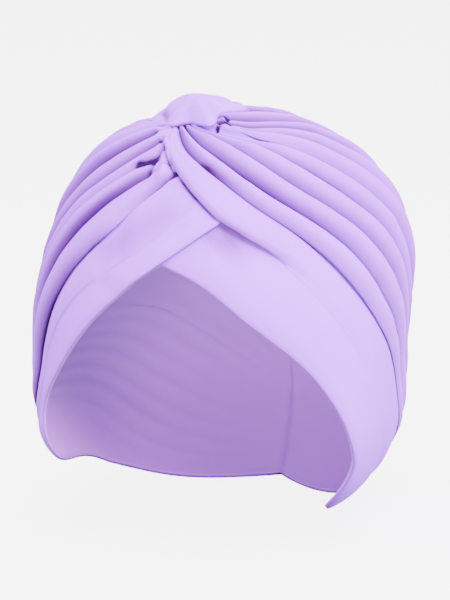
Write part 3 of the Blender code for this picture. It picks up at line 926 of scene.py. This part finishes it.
def cloth_lengths(rings):
    """Lengths in metres along the folds and across them at each point, the first point repeated."""
    closed = np.concatenate([rings, rings[:, :1]], axis=1)
    along = np.linalg.norm(np.diff(closed, axis=0), axis=-1)
    along = np.concatenate([np.zeros((1, closed.shape[1])), np.cumsum(along, axis=0)])
    across_it = np.linalg.norm(np.diff(closed, axis=1), axis=-1)
    across_it = np.concatenate([np.zeros((len(closed), 1)), np.cumsum(across_it, axis=1)], axis=1)
    return along * MM, across_it * MM


def wrap_mesh(name, edge, table, side, sizes):
    """Closed mesh of one wrap, with cloth lengths as its UV map and its painted shade tone as an
    attribute.
    """
    outside, inside, place, inner_place, tone = wrap_surface(edge, table, side, sizes)
    rings = np.concatenate([outside, inside[:, ::-1]], axis=1)
    ring_count, count = rings.shape[:2]
    quads = grid_faces(ring_count, count)
    along, over = cloth_lengths(rings)
    column = np.arange(count)
    corners = np.stack([column, column + 1, column + 1, column], axis=-1)
    row = np.arange(ring_count - 1)[:, None, None]
    rise = np.array([0, 0, 1, 1])[None, None, :]
    u_map = along[row + rise, corners[None]].reshape(-1, 4)
    v_map = over[row + rise, corners[None]].reshape(-1, 4)
    if side > 0:
        quads = quads[:, ::-1]
        u_map = u_map[:, ::-1]
        v_map = v_map[:, ::-1]
    tris = []
    outer_count = outside.shape[1]
    for ring, turn in ((0, side > 0), (ring_count - 1, side < 0)):
        for tri in end_cap(outer_count, inside.shape[1], place[ring], inner_place[ring]):
            tri = tuple(ring * count + n for n in tri)
            tris.append(tri if turn else tri[::-1])
    flat = np.array(tris).ravel()
    uv_quads = np.stack([u_map, v_map], axis=-1).reshape(-1, 2)
    ring = flat // count
    uv_tris = np.stack([along[ring, flat % count], over[ring, flat % count]], axis=-1)
    values = np.concatenate([tone, np.full(inside.shape[:2], -1.0)], axis=1).ravel()
    faces = quads.tolist() + [list(t) for t in tris]
    uvs = np.concatenate([uv_quads, uv_tris])
    return cloth_object(name, rings.reshape(-1, 3), faces, uvs, values)


def loop_mesh(name, sizes):
    """Loop over the twist: a flattened dome whose reach changes with the angle, closed below."""
    pole, left, face = twist_frame()
    centre = direction(LOOP_DIST, LOOP_BEARING)
    back = unit(-face + (face @ centre) * centre)
    side = unit(left - (left @ centre) * centre - (left @ back) * back)
    angle = np.linspace(0.0, 2.0 * np.pi, LOOP_AROUND, endpoint=False)
    table = np.array(LOOP_REACH, float)
    stations = np.concatenate([table[-2:, 0] - 360.0, table[:, 0], table[:3, 0] + 360.0])
    reach = np.concatenate([table[-2:, 1], table[:, 1], table[:3, 1]])[:, None]
    radius = through(stations, reach, np.degrees(angle))[:, 0] / head_radius(centre[None])[0]
    thick = sizes.loop_thickness / MM

    share = np.sin(np.linspace(0.0, 0.5 * np.pi, LOOP_RINGS + 1))[1:]
    dome = np.maximum(1.0 - share ** LOOP_DOME[0], 0.0) ** LOOP_DOME[1]
    rise = LOOP_RIM + (thick - LOOP_RIM) * dome
    below = np.array(LOOP_UNDER_SIDE)
    share = np.concatenate([share, below[:, 0]])
    rise = np.concatenate([rise, below[:, 1]])[:, None]
    flatter = np.zeros(LOOP_AROUND)
    for place, power, amount in LOOP_FLATTER:
        flatter += amount * np.clip(np.cos(angle - np.radians(place)), 0.0, 1.0) ** power
    rise = rise * (1.0 - flatter[None, :] * share[:, None] ** LOOP_FLATTER_POWER)
    step = np.clip(np.cos(angle - np.radians(LOOP_STEP_ANGLE)), 0.0, 1.0)
    rise = rise * (1.0 - LOOP_STEP * step[None, :] * rising(share[:, None], LOOP_STEP_SPAN))
    out = (radius[None, :] * share[:, None])[..., None]
    d = centre + out * (np.cos(angle)[:, None] * side + np.sin(angle)[:, None] * back)[None]
    d = unit(d)
    away = np.degrees(np.arccos(np.clip(d @ pole, -1.0, 1.0)))
    turn = smooth(0.5 + 4.0 * (d - pole) @ left)
    far = LOOP_UNDER_LEFT + (LOOP_UNDER_RIGHT - LOOP_UNDER_LEFT) * turn
    under = LOOP_UNDER_NEAR + (far - LOOP_UNDER_NEAR) * smooth(away / LOOP_SPREAD)
    front = np.clip(-np.sin(angle), 0.0, 1.0)[None, :]
    pressed = LOOP_PRESS * (1.0 - LOOP_PRESS_FRONT * front)
    under = under - pressed * share[:, None] ** LOOP_PRESS_POWER
    top = (np.arange(len(share)) < LOOP_RINGS)[:, None] * smooth((rise - 1.0) / 2.0)
    dents, shade = relief(d, LOOP_RELIEF, 0)
    height = under + rise - top * dents
    part, fineness, twirl = LOOP_RIPPLE
    height = height + top * part * sizes.ripple_height / MM * ripple(d, fineness, twirl)
    points = head_point(d, height)
    top_height = smooth(LOOP_DIST / LOOP_SPREAD)
    top_height = LOOP_UNDER_NEAR + (far.mean() - LOOP_UNDER_NEAR) * top_height
    poles = head_point(np.stack([centre, centre]), np.array([top_height + thick, top_height]))
    verts = np.concatenate([points.reshape(-1, 3), poles])
    quads = grid_faces(len(share), LOOP_AROUND)
    j = np.arange(LOOP_AROUND)
    k = (j + 1) % LOOP_AROUND
    first = np.stack([np.full(LOOP_AROUND, len(verts) - 2), j, k], axis=-1)
    last_ring = (len(share) - 1) * LOOP_AROUND
    end = np.full(LOOP_AROUND, len(verts) - 1)
    last = np.stack([last_ring + k, last_ring + j, end], axis=-1)
    faces = quads[:, ::-1].tolist() + first.tolist() + last.tolist()
    flat_uv = np.stack([verts @ side, verts @ back], axis=-1) * MM
    order = np.concatenate([quads[:, ::-1].ravel(), first.ravel(), last.ravel()])
    # Painted shade at the loop's low rim, and that of its dents
    edge = np.clip(LOOP_RIM_HEIGHT - rise, 0.0, 1.0) * LOOP_RIM_PAINTED_SHADE
    edge = edge * (share[:, None] > LOOP_RIM_FROM)
    edge = np.concatenate([np.clip(edge + top * shade, 0.0, 1.0).ravel(), [0.0, 0.0]])
    return cloth_object(name, verts, faces, flat_uv[order], edge)


def cloth_object(name, verts, faces, uvs, tone):
    """Smooth-shaded object at the origin, from points in millimetres. Tone is painted shade, 1 in a
    crease and 0 on a crest, and -1 on the inner side, whose paler colour is partly painted light."""
    mesh = bpy.data.meshes.new(name)
    mesh.from_pydata((verts * MM).tolist(), [], faces)
    mesh.polygons.foreach_set("use_smooth", np.ones(len(faces), bool))
    layer = mesh.uv_layers.new(name="cloth")
    layer.data.foreach_set("uv", uvs.astype(np.float32).ravel())
    attribute = mesh.attributes.new("tone", "FLOAT", "POINT")
    attribute.data.foreach_set("value", tone.astype(np.float32))
    mesh.update()
    obj = bpy.data.objects.new(name, mesh)
    bpy.context.scene.collection.objects.link(obj)
    return obj


def set_inputs(node, values):
    """Values of a node's inputs, given as pairs of name and value."""
    for name, value in values:
        node.inputs[name].default_value = value


def math_node(tree, operation, *values):
    """Math node of an operation on sockets or numbers; gives its output."""
    node = tree.nodes.new("ShaderNodeMath")
    node.operation = operation
    for socket, value in zip(node.inputs, values):
        if isinstance(value, bpy.types.NodeSocket):
            tree.links.new(value, socket)
        else:
            socket.default_value = value
    return node.outputs[0]


def mix_colour(tree, factor, first, second, blend="MIX"):
    """Mix node of two colours, given as sockets or as tuples."""
    node = tree.nodes.new("ShaderNodeMix")
    node.data_type = "RGBA"
    node.blend_type = blend
    for number, value in ((0, factor), (6, first), (7, second)):
        socket = node.inputs[number]
        if isinstance(value, bpy.types.NodeSocket):
            tree.links.new(value, socket)
        else:
            socket.default_value = value
    return node.outputs[2]


def noise(tree, coordinates, scale, detail):
    """Noise texture on given coordinates; gives its value."""
    node = tree.nodes.new("ShaderNodeTexNoise")
    set_inputs(node, (("Scale", scale), ("Detail", detail), ("Roughness", 0.5)))
    tree.links.new(coordinates, node.inputs["Vector"])
    return node.outputs["Fac"]


def knit_height(tree, stitch):
    """Height of a fine knit: rounded columns crossed by slanting courses, on cloth lengths."""
    layer = tree.nodes.new("ShaderNodeUVMap")
    layer.uv_map = "cloth"
    split = tree.nodes.new("ShaderNodeSeparateXYZ")
    tree.links.new(layer.outputs["UV"], split.inputs[0])
    column = math_node(tree, "MULTIPLY", split.outputs["X"], 1.0 / stitch)
    course = math_node(tree, "MULTIPLY", split.outputs["Y"], 1.0 / (COURSE_SHARE * stitch))
    inside = math_node(tree, "SUBTRACT", math_node(tree, "FRACT", course), 0.5)
    away = math_node(tree, "MULTIPLY", math_node(tree, "ABSOLUTE", inside), 2.0)
    slant = math_node(tree, "ADD", column, math_node(tree, "MULTIPLY", away, COURSE_SLANT))
    wave = math_node(tree, "SINE", math_node(tree, "MULTIPLY", slant, FULL_TURN))
    rib = math_node(tree, "SUBTRACT", 1.0, math_node(tree, "POWER", away, 2.0))
    return math_node(tree, "MULTIPLY_ADD", wave, COLUMN_RISE, rib)


def knit_cloth(name, sizes, colours):
    """Matte stretch knit: lilac with a soft uneven tone, painted shade in hollows, and a fine
    stitch.
    """
    found = bpy.data.materials.get(name)
    if found:
        return found
    material = bpy.data.materials.new(name)
    material.use_nodes = True
    tree = material.node_tree
    shader = tree.nodes["Principled BSDF"]
    place = tree.nodes.new("ShaderNodeTexCoord").outputs["Object"]
    soft = math_node(tree, "MULTIPLY", noise(tree, place, *SOFT_NOISE), SOFT_SHARE)
    tone = math_node(tree, "MULTIPLY_ADD", noise(tree, place, *FINE_NOISE), FINE_SHARE, soft)
    cloth = mix_colour(tree, tone, tuple(colours.cloth), tuple(colours.cloth_light))
    # Painted shade from the tone attribute, blackest at a crease's heart
    layer = tree.nodes.new("ShaderNodeAttribute")
    layer.attribute_name = "tone"
    deep = math_node(tree, "MAXIMUM", layer.outputs["Fac"], 0.0)
    core = math_node(tree, "MULTIPLY", math_node(tree, "POWER", deep, 4.0), CREASE_SHADE_CORE)
    deep = math_node(tree, "MULTIPLY_ADD", deep, CREASE_SHADE_SHARE, core)
    cloth = mix_colour(tree, deep, cloth, tuple(colours.crease))
    # Paler inner side: the knit's reverse side, partly painted light against the shade inside
    inner = math_node(tree, "MULTIPLY", layer.outputs["Fac"], -1.0)
    inner = math_node(tree, "MAXIMUM", inner, 0.0)
    cloth = mix_colour(tree, inner, cloth, tuple(colours.inner))
    stitch = knit_height(tree, sizes.stitch)
    # Painted shade between stitches, darker where the stitch is low
    shade = math_node(tree, "MULTIPLY_ADD", stitch, STITCH_PAINTED_SHADE, 1.0 - STITCH_PAINTED_SHADE)
    grey = tree.nodes.new("ShaderNodeCombineColor")
    for socket in grey.inputs:
        tree.links.new(shade, socket)
    cloth = mix_colour(tree, 1.0, cloth, grey.outputs[0], "MULTIPLY")
    tree.links.new(cloth, shader.inputs["Base Color"])
    bump = tree.nodes.new("ShaderNodeBump")
    set_inputs(bump, KNIT_BUMP)
    tree.links.new(stitch, bump.inputs["Height"])
    tree.links.new(bump.outputs["Normal"], shader.inputs["Normal"])
    set_inputs(shader, KNIT_FINISH)
    return material


def floor_material(name, colour):
    """Matte pale paper floor with a faint unevenness, lit through from below."""
    material = bpy.data.materials.new(name)
    material.use_nodes = True
    tree = material.node_tree
    shader = tree.nodes["Principled BSDF"]
    place = tree.nodes.new("ShaderNodeTexCoord").outputs["Object"]
    tone = noise(tree, place, *FLOOR_NOISE)
    darker = tuple(FLOOR_SHADE * c for c in colour[:3]) + (1.0,)
    tree.links.new(mix_colour(tree, tone, tuple(colour), darker), shader.inputs["Base Color"])
    set_inputs(shader, FLOOR_FINISH)
    return material


def dress(obj, node, scene):
    """Cloth finish of one piece, its place on the model, and the CAD part it stands for hidden."""
    obj.data.materials.append(knit_cloth("lilac_knit", scene.turban_sizes, scene.turban_colours))
    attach(obj, "root")
    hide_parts(node)


def area_light(name, place, size, power, colour, pieces):
    """Square area light at a place, turned to the object, that falls on some pieces alone."""
    light = bpy.data.lights.new(name, "AREA")
    light.shape = "SQUARE"
    light.size = size
    light.energy = power
    light.color = colour
    obj = bpy.data.objects.new(name, light)
    obj.location = place
    obj.rotation_mode = "QUATERNION"
    obj.rotation_quaternion = (-Vector(place)).to_track_quat("-Z", "Y")
    obj.light_linking.receiver_collection = pieces
    bpy.context.scene.collection.objects.link(obj)


def studio_world(name, light, shown):
    """White surroundings: their light on the object, and how bright they show behind it."""
    world = bpy.data.worlds.new(name)
    world.use_nodes = True
    tree = world.node_tree
    seen = tree.nodes.new("ShaderNodeLightPath").outputs["Is Camera Ray"]
    strength = math_node(tree, "MULTIPLY_ADD", seen, shown - light, light)
    background = tree.nodes["Background"]
    background.inputs["Color"].default_value = (1.0, 1.0, 1.0, 1.0)
    tree.links.new(strength, background.inputs["Strength"])
    return world


class TurbanSizes(bpy.types.PropertyGroup):
    """Sizes of the cloth."""

    band_thickness: bpy.props.FloatProperty(
        name="Band thickness",
        description="Thickness of the flat band at the face edge",
        default=0.0022,
        min=0.001,
        max=0.003,
        precision=4,
        unit="LENGTH",
    )
    crease_depth: bpy.props.FloatProperty(
        name="Crease depth",
        description="How much deeper the creases run than in the plain solids",
        default=0.0011,
        min=0.0,
        max=0.002,
        precision=4,
        unit="LENGTH",
    )
    lip_reach: bpy.props.FloatProperty(
        name="Lip reach",
        description="How far the lower lip of each pleat hangs over the pleat below",
        default=0.0015,
        min=0.0,
        max=0.003,
        precision=4,
        unit="LENGTH",
    )
    pleat_sway: bpy.props.FloatProperty(
        name="Pleat sway",
        description="Slow rise and fall of each pleat along its length",
        default=0.0003,
        min=0.0,
        max=0.001,
        precision=4,
        unit="LENGTH",
    )
    wrinkle_height: bpy.props.FloatProperty(
        name="Wrinkle height",
        description="Height of the fine pulled wrinkles near the twist",
        default=0.00014,
        min=0.0,
        max=0.001,
        precision=5,
        unit="LENGTH",
    )
    ripple_height: bpy.props.FloatProperty(
        name="Ripple height",
        description="Height of the soft unevenness all over the cloth",
        default=0.0004,
        min=0.0,
        max=0.001,
        precision=5,
        unit="LENGTH",
    )
    inner_gather: bpy.props.FloatProperty(
        name="Inner gather",
        description="Depth of the gathers on the inner side",
        default=0.0008,
        min=0.0,
        max=0.001,
        precision=4,
        unit="LENGTH",
    )
    loop_thickness: bpy.props.FloatProperty(
        name="Loop thickness",
        description="Thickness of the loop over the twist at its middle",
        default=0.0080,
        min=0.003,
        max=0.009,
        precision=4,
        unit="LENGTH",
    )
    stitch: bpy.props.FloatProperty(
        name="Stitch length",
        description="Length of one knit stitch",
        default=0.0007,
        min=0.0003,
        max=0.003,
        precision=5,
        unit="LENGTH",
    )


class TurbanColours(bpy.types.PropertyGroup):
    """Colours of the cloth and of the stage."""

    cloth: bpy.props.FloatVectorProperty(
        name="Cloth",
        description="Main colour of the knit",
        default=(0.44, 0.17, 0.96, 1.0),
        size=4,
        min=0.0,
        max=1.0,
        subtype="COLOR",
    )
    cloth_light: bpy.props.FloatVectorProperty(
        name="Cloth, lighter",
        description="Lighter tone that the knit drifts to",
        default=(0.49, 0.20, 0.97, 1.0),
        size=4,
        min=0.0,
        max=1.0,
        subtype="COLOR",
    )
    # Painted shade in the creases, under the lips and in the dents
    crease: bpy.props.FloatVectorProperty(
        name="Crease",
        description="Deeper tone inside the creases",
        default=(0.013, 0.006, 0.032, 1.0),
        size=4,
        min=0.0,
        max=1.0,
        subtype="COLOR",
    )
    # Paler reverse side of the knit, partly painted light against the shade inside the turban
    inner: bpy.props.FloatVectorProperty(
        name="Inner side",
        description="Paler reverse side of the knit, inside the turban",
        default=(0.72, 0.50, 0.97, 1.0),
        size=4,
        min=0.0,
        max=1.0,
        subtype="COLOR",
    )
    floor: bpy.props.FloatVectorProperty(
        name="Floor",
        description="Pale floor under the turban",
        default=(0.92, 0.92, 0.93, 1.0),
        size=4,
        min=0.0,
        max=1.0,
        subtype="COLOR",
    )


class TURBAN_OT_right_wrap(bpy.types.Operator):
    """Make the wrap on the wearer's left, whose front fold crosses over the other wrap"""

    bl_idname = "turban.right_wrap"
    bl_label = "Right wrap"

    def execute(self, context):
        """Build the wrap and dress it in the knit."""
        sizes = context.scene.turban_sizes
        obj = wrap_mesh("right_wrap_cloth", RIGHT_EDGE, RIGHT_FOLDS, 1, sizes)
        dress(obj, "right_wrap", context.scene)
        return {"FINISHED"}


class TURBAN_OT_left_wrap(bpy.types.Operator):
    """Make the wrap on the wearer's right, whose tail slides under the front fold"""

    bl_idname = "turban.left_wrap"
    bl_label = "Left wrap"

    def execute(self, context):
        """Build the wrap and dress it in the knit."""
        sizes = context.scene.turban_sizes
        obj = wrap_mesh("left_wrap_cloth", LEFT_EDGE, LEFT_FOLDS, -1, sizes)
        dress(obj, "left_wrap", context.scene)
        return {"FINISHED"}


class TURBAN_OT_twist_loop(bpy.types.Operator):
    """Make the loop of cloth that covers the twist"""

    bl_idname = "turban.twist_loop"
    bl_label = "Twist loop"

    def execute(self, context):
        """Build the loop and dress it in the knit."""
        obj = loop_mesh("twist_loop_cloth", context.scene.turban_sizes)
        dress(obj, "twist_loop", context.scene)
        return {"FINISHED"}


class TURBAN_OT_stage(bpy.types.Operator):
    """Make the floor, the soft studio light and the camera"""

    bl_idname = "turban.stage"
    bl_label = "Stage"

    def execute(self, context):
        """Build the stage round the finished pieces."""
        scene = context.scene
        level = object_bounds()[0][2] - FLOOR_DROP
        turn = np.linspace(0.0, 2.0 * np.pi, FLOOR_CORNERS, endpoint=False)
        rim = [FLOOR_REACH * np.cos(turn), FLOOR_REACH * np.sin(turn), 0.0 * turn + level]
        rim = np.stack(rim, axis=-1)
        mesh = bpy.data.meshes.new("floor")
        mesh.from_pydata(rim.tolist(), [], [tuple(range(len(rim)))])
        floor = bpy.data.objects.new("floor", mesh)
        mesh.materials.append(floor_material("pale_floor", scene.turban_colours.floor))
        scene.collection.objects.link(floor)
        floor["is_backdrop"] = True

        pieces = bpy.data.collections.new("cloth_pieces")
        for name in ("right_wrap_cloth", "left_wrap_cloth", "twist_loop_cloth"):
            pieces.objects.link(bpy.data.objects[name])
        ground = bpy.data.collections.new("ground")
        ground.objects.link(floor)
        floor.light_linking.receiver_collection = ground
        for name, place, size, power in CLOTH_LIGHTS:
            area_light(name, place, size, power, CLOTH_TINT, pieces)
        area_light(*FLOOR_LIGHT, WHITE, ground)
        scene.world = studio_world("studio", WORLD_LIGHT, WORLD_SHOWN)

        azimuth = np.radians(CAMERA_AZIMUTH)
        elevation = np.radians(CAMERA_ELEVATION)
        back = Vector((
            float(np.sin(azimuth) * np.cos(elevation)),
            float(-np.cos(azimuth) * np.cos(elevation)),
            float(np.sin(elevation)),
        ))
        lens = bpy.data.cameras.new("camera")
        lens.sensor_width = 36.0
        lens.lens = CAMERA_LENS
        lens.shift_y = CAMERA_SHIFT
        camera = bpy.data.objects.new("camera", lens)
        camera.location = back * CAMERA_DISTANCE
        camera.rotation_mode = "QUATERNION"
        camera.rotation_quaternion = (-back).to_track_quat("-Z", "Y")
        scene.collection.objects.link(camera)
        scene.camera = camera
        return {"FINISHED"}


class TURBAN_PT_panel(bpy.types.Panel):
    """Sizes, colours and buttons of the turban"""

    bl_idname = "TURBAN_PT_panel"
    bl_label = "Turban"
    bl_space_type = "VIEW_3D"
    bl_region_type = "UI"
    bl_category = "Turban"

    def draw(self, context):
        """List every size, colour and operator."""
        layout = self.layout
        for group in (context.scene.turban_sizes, context.scene.turban_colours):
            box = layout.box()
            for key in group.__annotations__:
                box.prop(group, key)
        for operator in OPERATORS:
            layout.operator(operator.bl_idname)


OPERATORS = (
    TURBAN_OT_right_wrap,
    TURBAN_OT_left_wrap,
    TURBAN_OT_twist_loop,
    TURBAN_OT_stage,
)
CLASSES = (TurbanSizes, TurbanColours) + OPERATORS + (TURBAN_PT_panel,)


def register():
    """Register the classes and hang the property groups on the scene."""
    for cls in CLASSES:
        bpy.utils.register_class(cls)
    bpy.types.Scene.turban_sizes = bpy.props.PointerProperty(type=TurbanSizes)
    bpy.types.Scene.turban_colours = bpy.props.PointerProperty(type=TurbanColours)


def unregister():
    """Take the property groups and the classes away again."""
    del bpy.types.Scene.turban_colours
    del bpy.types.Scene.turban_sizes
    for cls in reversed(CLASSES):
        bpy.utils.unregister_class(cls)


def main():
    register()
    bpy.ops.turban.right_wrap()
    bpy.ops.turban.left_wrap()
    bpy.ops.turban.twist_loop()
    bpy.ops.turban.stage()


if __name__ == "__main__":
    main()
